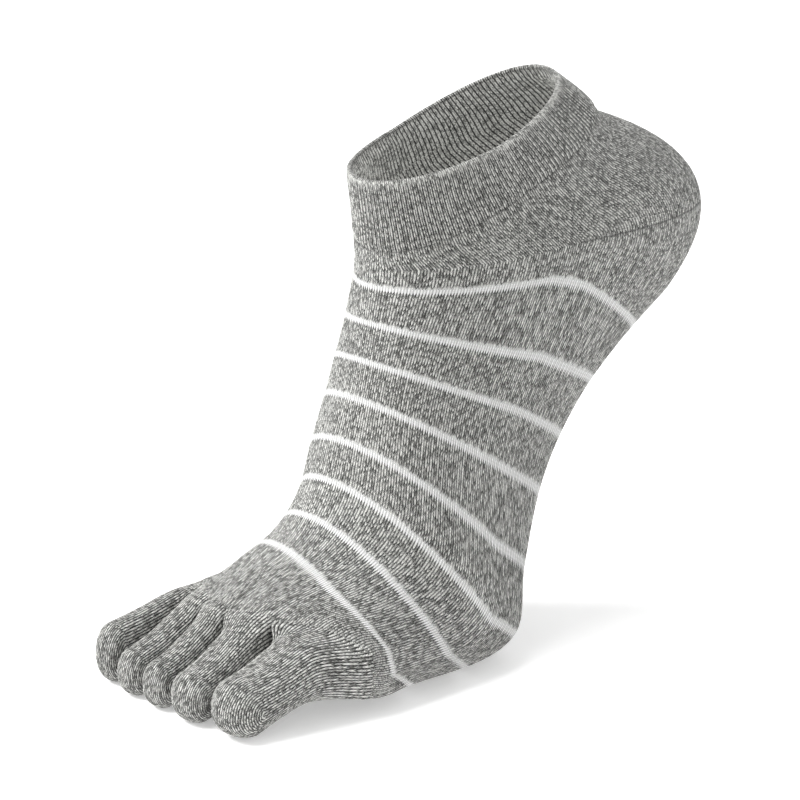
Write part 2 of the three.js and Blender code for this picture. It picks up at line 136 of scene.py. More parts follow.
# name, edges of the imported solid, then shares: hump, tipX, tipHalf, reach, rootTop, tipTop, rootSole, nose
toeRows = [
    ["toe_big", 6, 0.09, 0.236, 0.113, 1.000, 0.98, 0.61, 0.21, 1.00],
    ["toe_second", 4, 0.065, 0.018, 0.094, 1.000, 1.00, 0.53, 0.11, 0.82],
    ["toe_third", 4, 0.055, -0.164, 0.072, 0.990, 0.96, 0.50, 0.11, 0.95],
    ["toe_fourth", 4, 0.055, -0.318, 0.071, 0.980, 0.93, 0.50, 0.11, 0.95],
    ["toe_little", 4, 0.070, -0.470, 0.070, 0.960, 0.85, 0.64, 0.12, 1.05],
]
toe = {
    "along": [0, 0.25, 0.5, 0.75, 1],       # places from a toe's root to its nose
    "fall": [0, 0.2, 0.5, 0.8, 1],          # how far its top has come down there
    "arch": [1, 1.1, 1, 0.6, 0.05],         # how high its sole stands there
    "squareness": 2.3,
    "blend": 0.45,          # share of a toe that eases out of the root's shape
    "rootBlend": 0.18,      # share of the foot that eases into it
    "sideSwell": 0.015,
    "crotchBow": 0.04,
    "noseDrop": 0.03,
    "gap": 0.7,             # mm between two toes
    "endHump": 2,           # height of the foot's plain end over a root, in humps of the second toe
    "soleHump": 3,          # how many times lower a hump is on the sole
    "endSquareTop": 2.1,
    "endSquareSole": 2.6,
    "leastRadius": 0.05,    # keeps the courses apart where the wales meet at a nose's sides
    "rows": 30,
    "noseRows": 26,
}
sideEdges = 4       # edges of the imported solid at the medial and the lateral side


def mix(a, b, t):
    return a + (b - a) * t


def ease(t):
    s = np.clip(t, 0, 1)
    return s * s * (3 - 2 * s)


def power(value, squareness):
    return np.sign(value) * np.abs(value) ** (2 / squareness)


def alongY(share):
    return share * (foot["toeReach"] if share < 0 else foot["heelReach"])


def curveAt(x, xs, rows):
    # smooth curve through the rows that never swings past one
    slopes = [(np.array(rows[i + 1]) - rows[i]) / (xs[i + 1] - xs[i]) for i in range(len(xs) - 1)]

    def tangent(i):
        if i == 0 or i == len(xs) - 1:
            return slopes[0 if i == 0 else -1]
        before, after = xs[i] - xs[i - 1], xs[i + 1] - xs[i]
        a, b = slopes[i - 1], slopes[i]
        even = np.abs(a * after + b * before) / (before + after)
        limit = 3 * np.minimum(np.abs(a), np.abs(b))
        return np.where(a * b <= 0, 0, np.sign(a) * np.minimum(even, limit))

    i = min(max(int(np.searchsorted(xs, x)) - 1, 0), len(xs) - 2)
    step = xs[i + 1] - xs[i]
    t = (x - xs[i]) / step
    return ((2 * t**3 - 3 * t**2 + 1) * np.array(rows[i]) + (t**3 - 2 * t**2 + t) * step * tangent(i)
            + (3 * t**2 - 2 * t**3) * np.array(rows[i + 1]) + (t**3 - t**2) * step * tangent(i + 1))


def footRing(row):
    _, topY, topZ, sideY, sideZ, soleY, soleZ, ball, medial, lateral, back, drop, square, low = row
    rise = foot["ankleRise"]
    width = mix(foot["ankleWidth"], foot["ballWidth"], ball)
    return [alongY(topY), topZ * rise, alongY(sideY), sideZ * rise, alongY(soleY), soleZ * rise,
            medial * width, lateral * width, back * foot["ballWidth"], drop * foot["ballWidth"],
            square, low, 0]


legLength = cuff["height"] + band["height"]
footRows = [footRing(row) for row in footRings]
heelTopRow = (footRows[0][:4] + [heel["topBackY"] * foot["heelReach"],
              heel["topBackZ"] * foot["ankleRise"]] + footRows[0][6:])


def legRow(row):
    _, topY, topZ, sideY, sideZ, backY, backZ, medial, lateral, sag = row
    offsets = [topY, topZ, sideY, sideZ, backY, backZ]
    width = foot["ankleWidth"]
    return ([h + o * legLength for h, o in zip(heelTopRow, offsets)]
            + [medial * width, lateral * width, 0, 0, 2, 2, sag * width])


legRows = [legRow(row) for row in legRings]
legPlaces = [row[0] for row in legRings]
mouthRow = legRows[-1]
mouth = np.array([0, (mouthRow[0] + mouthRow[4]) / 2, (mouthRow[1] + mouthRow[5]) / 2])

roots = [[x * foot["ballWidth"], y * foot["toeReach"], z * foot["toeRootHeight"],
          sy * foot["toeReach"], sz * foot["toeRootHeight"]] for x, y, z, sy, sz in toeRoots]


def endRing():
    first, middle, last = roots[0], roots[2], roots[-1]
    topZ = middle[2] + toeRows[1][2] * foot["toeRootHeight"] * toe["endHump"]
    return [middle[1], topZ, (first[1] + first[3]) / 2, (first[2] + first[4]) / 2, middle[3],
            middle[4], first[0], -last[0], last[1] - first[1],
            (first[2] + first[4] - last[2] - last[4]) / 2, toe["endSquareTop"], toe["endSquareSole"], 0]


tubeRows = footRows + [endRing()]
tubePlaces = [row[0] for row in footRings] + [1]
quarterSteps = 49       # points along a quarter of a ring before they are spread evenly


def ringPoints(row, shares):
    # points spread evenly over each quarter: medial side to top, to lateral side, to sole, and back
    topY, topZ, sideY, sideZ, soleY, soleZ, medial, lateral, back, drop, square, low, sag = row
    points = np.zeros((len(shares), 3))
    angle = np.linspace(0, math.pi / 2, quarterSteps)
    for quarter in range(4):
        upper, inner, rising = quarter < 2, quarter in (0, 3), quarter % 2 == 0
        n = square if upper else low
        toEnd = power(np.sin(angle) if rising else np.cos(angle), n)
        toSide = power(np.cos(angle) if rising else np.sin(angle), n)
        middleY = sideY if inner else sideY + back
        middleZ = sideZ if inner else sideZ - drop
        sunk = 0 if inner else sag * (1 - toEnd**2)
        arc = np.stack([toSide * (medial if inner else -lateral),
                        mix(middleY, topY if upper else soleY, toEnd),
                        mix(middleZ, topZ if upper else soleZ, toEnd) - sunk], -1)
        run = np.r_[0, np.cumsum(np.linalg.norm(np.diff(arc, axis=0), axis=1))]
        here = np.clip(np.floor(shares * 4), 0, 3) == quarter
        at = (shares[here] * 4 - quarter) * run[-1]
        for c in range(3):
            points[here, c] = np.interp(at, run, arc[:, c])
    return points


# columns of the mesh, counted from the medial edge of the toes' tops
perEdge = knit["columnsPerEdge"]
topColumns = sum(row[1] for row in toeRows) * perEdge
sideColumns = sideEdges * perEdge
around = 2 * topColumns + 2 * sideColumns
ringShares = ((np.arange(around) + sideColumns / 2) / around) % 1
lateralColumn = topColumns + sideColumns // 2
medialColumn = around - sideColumns // 2
toeStarts = [sum(row[1] for row in toeRows[:k]) * perEdge for k in range(len(toeRows) + 1)]


def soleColumn(column):
    return (2 * topColumns + sideColumns - column) % around


# one skin for the whole sock: shared points, and patches of rows and columns with knit coordinates
skin = {"points": [], "count": 0}
patches = []


def addPoints(points):
    first = skin["count"]
    skin["points"].append(np.asarray(points, float).reshape(-1, 3))
    skin["count"] += len(skin["points"][-1])
    return np.arange(first, skin["count"])


def addPatch(piece, rows, wales, courses, **more):
    patches.append({"piece": piece, "ids": np.array(rows), "u": np.array(wales) * 1.0,
                    "v": np.array(courses) * 1.0, **more})


def closed(row):
    return np.concatenate([row, row[:1]])


def runDown(rows):
    # length run down each column, mm
    return np.vstack([np.zeros(rows.shape[1]),
                      np.cumsum(np.linalg.norm(np.diff(rows, axis=0), axis=2), axis=0)])


def allPoints():
    return np.vstack(skin["points"])


waleOf = np.arange(around + 1) * knit["wales"] / around
course = knit["courseHeight"]


# leg: the cuff's rows, then the band down to the heel line
def legRing(fromMouth):
    return ringPoints(curveAt(1 - fromMouth / legLength, legPlaces, legRows), ringShares)


cuffGrid = np.array([legRing(cuff["height"] * i / cuff["rows"]) for i in range(cuff["rows"] + 1)])
cuffIds = [addPoints(row) for row in cuffGrid]
bandGrid = np.array([legRing(cuff["height"] + band["height"] * i / band["rows"])
                     for i in range(band["rows"] + 1)])
bandIds = [cuffIds[-1]] + [addPoints(row) for row in bandGrid[1:]]
heelLine = bandIds[-1]


# the last ring of the foot, with a hump over each toe's root
def rootRing():
    points = np.zeros((around, 3))
    for k, row in enumerate(toeRows):
        columns = row[1] * perEdge
        t = np.arange(columns + 1) / columns
        hump = row[2] * foot["toeRootHeight"] * np.sin(math.pi * t)
        a, b = np.array(roots[k]), np.array(roots[k + 1])
        line = a + (b - a) * t[:, None]
        top = toeStarts[k] + np.arange(columns + 1)
        points[top] = np.stack([line[:, 0], line[:, 1], line[:, 2] + hump], -1)
        points[soleColumn(top)] = np.stack([line[:, 0], line[:, 3], line[:, 4] - hump / toe["soleHump"]], -1)
    t = (np.arange(1, sideColumns) / sideColumns)[:, None]
    for start, sign in ((topColumns, -1), (around - sideColumns, 1)):
        a, b = points[start], points[(start + sideColumns) % around]
        side = a + (b - a) * t
        side[:, 0] += sign * toe["sideSwell"] * foot["ballWidth"] * np.sin(math.pi * t[:, 0])
        points[start + 1:start + sideColumns] = side
    return points


rootPoints = rootRing()
plainEnd = ringPoints(tubeRows[-1], ringShares)


def tubeRing(place):
    share = ease(1 - (1 - place) / toe["rootBlend"])
    return ringPoints(curveAt(place, tubePlaces, tubeRows), ringShares) + share * (rootPoints - plainEnd)


# foot: a few rows down to the first stripe, then the long tube down to the toes' roots
neckRows = 7
stripeCourse = 0.5      # course number at the first stripe's place
mainCourses = (1 - firstStripe) / stripeStep * knit["stripeRepeat"]
mainRows = knit["footRows"]
neckGrid = np.array([tubeRing(firstStripe * i / neckRows) for i in range(neckRows + 1)])
mainGrid = np.array([tubeRing(firstStripe + (1 - firstStripe) * i / mainRows)
                     for i in range(mainRows + 1)])

# heel pocket: a fan of rows between the heel line and the foot's first ring, on the back half
heelColumns = np.arange(lateralColumn, medialColumn + 1)
heelFirst = np.array([heelTopRow[4], heelTopRow[5]])
heelEnd = np.array([footRows[0][4], footRows[0][5]])
heelBack = np.array([heel["backY"] * foot["heelReach"], heel["backZ"] * foot["ankleRise"]])
heelControl = 2 * heelBack - (heelFirst + heelEnd) / 2
heelIds = [heelLine[heelColumns]]
heelGrid = [bandGrid[-1][heelColumns]]
for i in range(1, heel["rows"] + 1):
    t = i / heel["rows"]
    row = list(heelTopRow)
    row[4:6] = (1 - t) ** 2 * heelFirst + 2 * t * (1 - t) * heelControl + t**2 * heelEnd
    points = ringPoints(row, ringShares)[heelColumns]
    points[0], points[-1] = heelGrid[0][0], heelGrid[0][-1]
    heelGrid.append(points)
    heelIds.append(np.r_[heelIds[0][0], addPoints(points[1:-1]), heelIds[0][-1]])
heelGrid = np.array(heelGrid)

firstRing = heelLine.copy()
firstRing[heelColumns] = heelIds[-1]
neckIds = [firstRing] + [addPoints(row) for row in neckGrid[1:]]
mainIds = [neckIds[-1]] + [addPoints(row) for row in mainGrid[1:]]
rootLine = mainIds[-1]

# courses, counted up the columns by their real length above the first stripe
neckRun = runDown(neckGrid)
neckCourse = stripeCourse - (neckRun[-1] - neckRun) / course
sideCourse = np.interp(np.arange(lateralColumn, medialColumn + 1), [lateralColumn, medialColumn],
                       neckCourse[0][[lateralColumn, medialColumn]])
heelLineCourse = neckCourse[0].copy()
heelLineCourse[heelColumns] = sideCourse
bandRun = runDown(bandGrid)
bandCourse = heelLineCourse - (bandRun[-1] - bandRun) / course
cuffRun = runDown(cuffGrid)
heelRun = runDown(heelGrid)
half = heel["goreRow"]
upperCourse = sideCourse + heelRun[:half + 1] / course
lowerCourse = neckCourse[0][heelColumns] - (heelRun[-1] - heelRun[half:]) / course
goreDistance = np.abs(heelRun - heelRun[half])


def wrapRows(rows):
    return np.array([closed(row) for row in rows])


def waleRows(rows, wales):
    return np.repeat(wales[None], len(rows), 0)


# how the courses run askew
pull = {
    "fromCourse": 80,       # below here they crowd together over the instep
    "rate": 0.26,           # extra courses to a course there
    "most": 13,
    "middle": 0.40,         # share of the way round where they crowd most
    "reach": 0.34,
    "cornerSag": 2.0,       # courses that the first stripe dips under the heel's corners
    "cornerWidth": 13,      # mesh columns
    "cornerDepth": 16,      # courses down to where that ends
}

columnList = np.arange(around)
cornerNear = sum(np.exp(-((columnList - corner) / pull["cornerWidth"]) ** 2)
                 for corner in (lateralColumn, medialColumn))
neckDown = neckRun / neckRun[-1]
neckPatchCourse = neckCourse - pull["cornerSag"] * cornerNear * ease(neckDown)
plainCourse = stripeCourse + np.arange(mainRows + 1)[:, None] * mainCourses / mainRows
crowding = ease(1 - np.abs(ringShares - pull["middle"]) / pull["reach"])
extraCourses = np.clip((plainCourse - pull["fromCourse"]) * pull["rate"], 0, pull["most"])
mainCourse = (plainCourse + crowding * extraCourses
              - pull["cornerSag"] * cornerNear * ease(1 - plainCourse / pull["cornerDepth"]))

# the plain inside keeps one mesh row in this many, and one column
insideStep = {"neck": 7, "foot": 3, "heel": 4, "toe": 3, "nose": 4, "column": 4}
# the band carries the distance down from the cuff's lower edge: painted shadow just under that edge
addPatch("foot", wrapRows(bandIds), waleRows(bandIds, waleOf), wrapRows(bandCourse), top=True,
         inside=insideStep["neck"], gore=wrapRows(bandRun), edgeLine=True)
addPatch("foot", wrapRows(neckIds), waleRows(neckIds, waleOf), wrapRows(neckPatchCourse),
         inside=insideStep["neck"])
addPatch("foot", wrapRows(mainIds), waleRows(mainIds, waleOf), wrapRows(mainCourse), bottom=True,
         inside=insideStep["foot"])
heelWales = waleOf[heelColumns]
addPatch("heel_pocket", heelIds[:half + 1], waleRows(heelIds[:half + 1], heelWales), upperCourse,
         top=True, inside=insideStep["heel"], gore=goreDistance[:half + 1])
addPatch("heel_pocket", heelIds[half:], waleRows(heelIds[half:], heelWales), lowerCourse,
         bottom=True, inside=insideStep["heel"], gore=goreDistance[half:])
print("foot and heel rows:", len(bandIds), len(neckIds), len(mainIds), len(heelIds))

# crotches: the short curve of knit between two toes, top to sole
crotches = []
crotchIds = []
skinPoints = allPoints()
for k in range(1, len(toeRows)):
    top, sole = rootLine[toeStarts[k]], rootLine[soleColumn(toeStarts[k])]
    t = (np.arange(1, sideColumns) / sideColumns)[:, None]
    line = skinPoints[top] + (skinPoints[sole] - skinPoints[top]) * t
    line[:, 1] += toe["crotchBow"] * foot["toeRootHeight"] * np.sin(math.pi * t[:, 0])
    ids = addPoints(line)
    crotches.append(np.r_[top, ids, sole])
    crotchIds.extend([top, *ids, sole])


def addToe(k):
    name, edges, _, tipX, tipHalf, reach, rootTop, tipTop, rootSole, noseLength = toeRows[k]
    columns = edges * perEdge
    height = foot["toeRootHeight"]
    top = rootLine[toeStarts[k] + np.arange(columns + 1)]
    sole = rootLine[soleColumn(toeStarts[k] + np.arange(columns + 1))][::-1]
    outer = crotches[k] if k < len(crotches) else rootLine[topColumns + np.arange(sideColumns + 1)]
    inner = crotches[k - 1] if k > 0 else rootLine[(around - np.arange(sideColumns + 1)) % around]
    root = np.r_[top[:-1], outer[:-1], sole[:-1], inner[::-1][:-1]]
    count = len(root)
    rootShape = allPoints()[root]
    rootY = rootShape[:, 1].mean()
    tipWidth = tipHalf * foot["ballWidth"]
    nose = noseLength * tipWidth
    endY = -reach * foot["toeReach"] + nose
    rootX = (roots[k][0] + roots[k + 1][0]) / 2
    rootHalf = (roots[k][0] - roots[k + 1][0] - toe["gap"]) / 2
    angle = (np.arange(count) - columns / 2) / count * 2 * math.pi
    profile = np.stack([toe["fall"], toe["arch"]], -1)

    def section(t):
        fall, arch = curveAt(t, toe["along"], profile)
        high = mix(rootTop, tipTop, fall) * height
        low = rootSole * arch * height
        x = mix(rootX, tipX * foot["ballWidth"], t) - mix(rootHalf, tipWidth, t) * power(
            np.sin(angle), toe["squareness"])
        z = (high + low) / 2 + (high - low) / 2 * power(np.cos(angle), toe["squareness"])
        return np.stack([x, np.full(count, mix(rootY, endY, t)), z], -1)

    plainRoot = section(0)
    ids = [root]
    for i in range(1, toe["rows"] + 1):
        t = i / toe["rows"]
        ids.append(addPoints(section(t) + ease(1 - t / toe["blend"]) * (rootShape - plainRoot)))
    girth = np.linalg.norm(np.diff(wrapRows([section(0.5)])[0], axis=0), axis=1)
    wales = toeStarts[k] + np.r_[0, np.cumsum(girth)] / knit["toeWale"]
    waleCount = round(wales[-1] - wales[0])
    wales = toeStarts[k] + (wales - wales[0]) * waleCount / (wales[-1] - wales[0])
    firstCourse = stripeCourse + mainCourses
    rows = np.arange(toe["rows"] + 1)[:, None] * knit["toeCoursesPerRow"] + 0 * wales
    addPatch(name, wrapRows(ids), waleRows(ids, wales), firstCourse + rows, top=True,
             inside=insideStep["toe"])

    # nose: wales run over the tip from top to sole and meet along a gore at each side
    end = section(1)
    middle = end.mean(0)
    middle[2] -= toe["noseDrop"] * height
    noseIds = [ids[-1]]
    bends = np.arange(toe["noseRows"] + 1) / toe["noseRows"] * math.pi / 2
    for bend in bends[1:-1]:
        ring = middle + (end - middle) * math.cos(bend)
        ring[:, 1] = endY - nose * math.sin(bend)
        noseIds.append(addPoints(ring))
    tip = addPoints([middle[0], endY - nose, middle[2]])
    noseIds.append(np.repeat(tip, count))
    noseIds = wrapRows(noseIds)
    turn = (np.arange(count + 1) - columns / 2) / count * 2 * math.pi
    bend, turn = np.meshgrid(bends, turn, indexing="ij")
    toSide = np.arcsin(np.clip(np.sin(turn) * np.cos(bend), -1, 1))
    centreWale = wales[columns // 2]
    wale = waleCount / (2 * math.pi)
    over = np.arctan2(np.cos(turn) * np.cos(bend), np.sin(bend))
    radius = nose * np.maximum(np.cos(toSide), toe["leastRadius"])
    lastCourse = firstCourse + toe["rows"] * knit["toeCoursesPerRow"]
    quarter = [columns / 2 + count / 4, columns / 2 + 3 * count / 4]
    lateral, medial = [round(q) for q in quarter]
    spans = [(0, lateral, "top"), (lateral, medial, "sole"), (medial, count, "top")]
    for start, stop, face in spans:
        part = slice(start, stop + 1)
        side, tilt, r = toSide[:, part], over[:, part], radius[:, part]
        if face == "top":
            u = centreWale + side * wale
            v = lastCourse + (math.pi / 2 - tilt) * r / course
            if start == medial:
                u = u + waleCount
        else:
            u = centreWale + (math.pi - side) * wale
            v = lastCourse + (math.pi / 2 + tilt) * r / course
        addPatch(name, noseIds[:, part], u, v, inside=insideStep["nose"])


for k in range(len(toeRows)):
    addToe(k)
skinPoints = allPoints()
crotchIds = np.unique(crotchIds)
print("skin points:", len(skinPoints), "patches:", len(patches))


def quadsOf(grid):
    return np.stack([grid[:-1, :-1], grid[:-1, 1:], grid[1:, 1:], grid[1:, :-1]], 2).reshape(
        -1, 4, *grid.shape[2:])


def pointNormals(points, quads):
    a, b, c, d = (points[quads[:, i]] for i in range(4))
    face = np.cross(c - a, d - b)
    normals = np.zeros_like(points)
    for i in range(4):
        np.add.at(normals, quads[:, i], face)
    length = np.linalg.norm(normals, axis=1, keepdims=True)
    return normals / np.maximum(length, 1e-9)


cuffQuads = quadsOf(wrapRows(cuffIds))
skinNormals = pointNormals(skinPoints, np.vstack([cuffQuads] + [quadsOf(p["ids"]) for p in patches]))


# colours are given as sRGB hex and turned to linear here
def colour(hexValue, alpha=1):
    parts = [int(hexValue[i:i + 2], 16) / 255 for i in (1, 3, 5)]
    return [p / 12.92 if p <= 0.04045 else ((p + 0.055) / 1.055) ** 2.4 for p in parts] + [alpha]


def addNode(tree, kind, inputs=(), **settings):
    node = tree.nodes.new("ShaderNode" + kind)
    for name, value in settings.items():
        setattr(node, name, value)
    for key, value in (inputs.items() if isinstance(inputs, dict) else enumerate(inputs)):
        if isinstance(value, bpy.types.Node):
            value = value.outputs[0]
        if isinstance(value, bpy.types.NodeSocket):
            tree.links.new(value, node.inputs[key])
        else:
            node.inputs[key].default_value = value
    return node


# Heather cotton jersey: dark and pale fibres spun into one yarn and knitted plain on fine needles.
# Each wale shows as one fine raised line with painted shade in the gaps beside it, its stitches'
# legs make small teeth where the colour changes, and the grey breaks up from stitch to stitch. A wale
# is about 0.7 mm wide and a course 0.6 mm high on the stretched foot, and single fibres don't show.
heatherCotton = {
    "pale": "#fbfbf6",
    "dark": "#4b4c48",
    # painted shade: the colour drawn in the knit's gaps, where little light gets in
    "gap": "#141414",
    "stripe": "#ffffff",
    "stripeShade": "#f0f0ee",
    "stitchToStitch": 1.2,  # how much the grey jumps from one stitch to the next
    "fibreGrain": 3.4,      # and inside a stitch
    "fibresAcross": 2.0,    # grains to a wale, about 0.35 mm each: real fibres are too fine to show
    "fibresDown": 2.2,      # grains to a course, about 0.3 mm each
    "clouding": 0.22,       # slow change of the grey
    "cloudsAcross": 0.12,   # clouds to a wale or a course, so 5 to 6 mm each
    # the dark lines between pairs and between courses are painted shade
    "pairEdge": 2.5,        # how narrow the dark line between two pairs of wales is
    "courseEdge": 1.5,      # and between two courses
    "stripeShows": 0.38,    # how far a stripe's pale yarn fills its gaps
    "foldShows": 0.5,       # and how far the stretched fold at the rim does
    "roughness": 0.95,
    "specular": 0.15,
    "sheen": 0.15,
    "sheenRoughness": 0.6,
    "bump": 0.4,            # mm, a wale's height above the gap
    "bumpStrength": 0.7,
    "fibreBump": 0.3,       # share of the bump that is loose fibre
}
# how each stretch of knit differs: its painted shade in the gaps beside wales, pairs and courses, and how
# pale its yarn is
knitFinish = {
    "foot": {"waleGapShade": 0.85, "pairGap": 0.1, "courseGap": 0.8, "paler": 0.02},
    "heel": {"waleGapShade": 0.75, "pairGap": 0.1, "courseGap": 0.9, "paler": 0.02},
    "toe": {"waleGapShade": 1.1, "pairGap": 0.0, "courseGap": 0.6, "paler": 0.02},
    "cuff": {"waleGapShade": 0.9, "pairGap": 0.5, "courseGap": 0.6, "paler": 0.1},
    # the inside is paler: painted light that comes through the thin knit, with pairs of wales as ribs edged
    # in painted shade
    "inside": {"waleGapShade": 0.4, "pairGap": 0.95, "courseGap": 0.6, "paler": 0.2},
}
throughLight = 0.38     # light that comes through the thin knit, seen on the inside
# two dark lines: the heel's gore, a line of joined stitches, and painted shadow just under the cuff's lower
# edge, where the cuff stands proud
gore = {
    "width": 0.7,       # mm either side of the line
    "shade": 0.85,      # how dark
    "groove": 0.35,     # mm either side that the mesh sinks in
    "far": 99.0,        # mm, for points away from any line
}


def heatherKnit(name, finish, striped=False):
    material = bpy.data.materials.new(name)
    material.use_nodes = True
    tree = material.node_tree
    tree.nodes.clear()
    kind = knitFinish[finish]

    # place in the knit: across in wales, down in courses
    knitPlace = addNode(tree, "SeparateXYZ", [addNode(tree, "UVMap", uv_map="knit")])
    across, down = knitPlace.outputs[0], knitPlace.outputs[1]
    fromGap = addNode(tree, "Math", [across, 0.5], operation="ADD")
    waleCount = addNode(tree, "Math", [fromGap], operation="FLOOR")
    inWale = addNode(tree, "Math", [across, waleCount], operation="SUBTRACT")       # -0.5 to 0.5
    eitherSide = addNode(tree, "Math", [inWale], operation="ABSOLUTE")
    fromMiddle = addNode(tree, "Math", [eitherSide, 2.0], operation="MULTIPLY")     # 1 at a wale's edge
    waleTurn = addNode(tree, "Math", [fromMiddle, math.pi / 2], operation="MULTIPLY")
    wale = addNode(tree, "Math", [waleTurn], operation="COSINE")                    # 1 along its back
    pair = addNode(tree, "Math", [fromGap, 1.0], operation="PINGPONG")              # 0 between two pairs
    slanted = addNode(tree, "Math", [fromMiddle, knit["rise"], down], operation="MULTIPLY_ADD")
    courseCount = addNode(tree, "Math", [slanted], operation="FLOOR")
    inCourse = addNode(tree, "Math", [slanted, courseCount], operation="SUBTRACT")
    courseTurn = addNode(tree, "Math", [inCourse, math.pi], operation="MULTIPLY")
    strand = addNode(tree, "Math", [courseTurn], operation="SINE")                  # 1 along a leg's back

    # heather: how pale each bit of yarn is, from stitch to stitch, from fibre to fibre and slowly
    stitch = addNode(tree, "CombineXYZ", [waleCount, courseCount])
    chance = addNode(tree, "TexWhiteNoise", [stitch])
    fibreX = addNode(tree, "Math", [across, heatherCotton["fibresAcross"]], operation="MULTIPLY")
    fibreY = addNode(tree, "Math", [slanted, heatherCotton["fibresDown"]], operation="MULTIPLY")
    fibres = addNode(tree, "TexNoise", {"Vector": addNode(tree, "CombineXYZ", [fibreX, fibreY]),
                                        "Scale": 1.0, "Detail": 1.0, "Roughness": 0.6})
    clouds = addNode(tree, "TexNoise", {"Vector": addNode(tree, "CombineXYZ", [across, down]),
                                        "Scale": heatherCotton["cloudsAcross"],
                                        "Detail": 3.0, "Roughness": 0.7})
    grains = [(chance, "stitchToStitch"), (fibres, "fibreGrain"), (clouds, "clouding")]
    tone = 0.5 + kind["paler"] - 0.5 * sum(heatherCotton[amount] for _, amount in grains)
    for grain, amount in grains:
        tone = addNode(tree, "Math", [grain, heatherCotton[amount], tone], operation="MULTIPLY_ADD",
                       use_clamp=grain == clouds)

    # a Mix node's colours go in at 6 and 7 and come out at 2
    yarn = addNode(tree, "Mix", {0: tone, 6: colour(heatherCotton["dark"]),
                                 7: colour(heatherCotton["pale"])}, data_type="RGBA").outputs[2]
    if striped:
        lastCourse = (knit["stripes"] - 1) * knit["stripeRepeat"] + knit["stripeCourses"]
        stripeRow = addNode(tree, "Math", [courseCount, knit["stripeRepeat"]], operation="MODULO")
        inRepeat = addNode(tree, "Math", [stripeRow, knit["stripeCourses"] - 0.5], operation="LESS_THAN")
        afterFirst = addNode(tree, "Math", [courseCount, -0.5], operation="GREATER_THAN")
        beforeLast = addNode(tree, "Math", [courseCount, lastCourse - 0.5], operation="LESS_THAN")
        inRange = addNode(tree, "Math", [afterFirst, beforeLast], operation="MULTIPLY")
        inStripe = addNode(tree, "Math", [inRepeat, inRange], operation="MULTIPLY")
        paleYarn = addNode(tree, "Mix", {0: tone, 6: colour(heatherCotton["stripeShade"]),
                                         7: colour(heatherCotton["stripe"])}, data_type="RGBA").outputs[2]
        yarn = addNode(tree, "Mix", {0: inStripe, 6: yarn, 7: paleYarn}, data_type="RGBA").outputs[2]

    # painted shade in the gaps beside each wale, deeper between pairs, and between one course and the next
    gapShade = addNode(tree, "Math", [wale, -kind["waleGapShade"], kind["waleGapShade"]], operation="MULTIPLY_ADD")
    for backs, edge, amount in ((pair, "pairEdge", "pairGap"), (strand, "courseEdge", "courseGap")):
        off = addNode(tree, "Math", [1.0, backs], operation="SUBTRACT")
        narrow = addNode(tree, "Math", [off, heatherCotton[edge]], operation="POWER")
        gapShade = addNode(tree, "Math", [narrow, kind[amount], gapShade], operation="MULTIPLY_ADD",
                       use_clamp=backs == strand)
    if striped:
        unfilled = addNode(tree, "Math", [inStripe, -heatherCotton["stripeShows"], 1.0],
                           operation="MULTIPLY_ADD")
        gapShade = addNode(tree, "Math", [gapShade, unfilled], operation="MULTIPLY")
    if finish == "cuff":
        # the fold at the rim is stretched smooth, so its gaps close and their painted shade fades
        coursesOff = addNode(tree, "Math", [down], operation="ABSOLUTE")
        fromRim = addNode(tree, "Math", [coursesOff, cuff["foldCourses"]], operation="DIVIDE",
                          use_clamp=True)
        folded = heatherCotton["foldShows"]
        unfolded = addNode(tree, "Math", [fromRim, folded, 1 - folded], operation="MULTIPLY_ADD")
        gapShade = addNode(tree, "Math", [gapShade, unfolded], operation="MULTIPLY")
    # the heel's gore line, and painted shadow just under the cuff's lower edge
    goreLine = addNode(tree, "Attribute", attribute_name="gore").outputs["Fac"]
    nearGoreAndCuffShadow = addNode(tree, "Math", [goreLine, -1 / gore["width"], 1.0], operation="MULTIPLY_ADD",
                       use_clamp=True)
    goreShade = addNode(tree, "Math", [nearGoreAndCuffShadow, gore["shade"]], operation="MULTIPLY")
    gapShade = addNode(tree, "Math", [gapShade, goreShade], operation="MAXIMUM")
    shaded = addNode(tree, "Mix", {0: gapShade, 6: yarn, 7: colour(heatherCotton["gap"])},
                     data_type="RGBA").outputs[2]

    strandHeight = addNode(tree, "Math", [strand, 0.5, 0.5], operation="MULTIPLY_ADD")
    waleHeight = addNode(tree, "Math", [wale, strandHeight], operation="MULTIPLY")
    height = addNode(tree, "Math", [fibres, heatherCotton["fibreBump"], waleHeight],
                     operation="MULTIPLY_ADD")
    bump = addNode(tree, "Bump", {"Height": height, "Strength": heatherCotton["bumpStrength"],
                                  "Distance": heatherCotton["bump"] / 1000})
    surface = {"Base Color": shaded, "Roughness": heatherCotton["roughness"],
               "Specular IOR Level": heatherCotton["specular"], "Sheen Weight": heatherCotton["sheen"],
               "Sheen Roughness": heatherCotton["sheenRoughness"], "Normal": bump}
    # painted light: the inside glows in its own colours for the light that comes through the thin knit
    if finish == "inside":
        surface |= {"Emission Color": shaded, "Emission Strength": throughLight}
    addNode(tree, "OutputMaterial", [addNode(tree, "BsdfPrincipled", surface)])
    return material


footKnit = heatherKnit("heather_jersey_striped", "foot", striped=True)
heelKnit = heatherKnit("heather_jersey_heel", "heel")
toeKnit = heatherKnit("heather_jersey_toe", "toe")
cuffKnit = heatherKnit("heather_rib", "cuff")
insideKnit = heatherKnit("heather_jersey_inside", "inside")

# the foot's knit is one length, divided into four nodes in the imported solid
standsFor = {"foot": ["ankle_band", "foot_instep", "foot_arch", "foot_ball"]}

# how thick the knit is, mm
walls = {"foot": 1.4, "heel": 1.6, "toe": 1.2}

# how far the wales rise above the skin and sink below it, mm
relief = {"foot": 0.07, "heel": 0.07, "toe": 0.08, "cuff": 0.16, "cuffInside": 0.24, "crotch": -0.1}


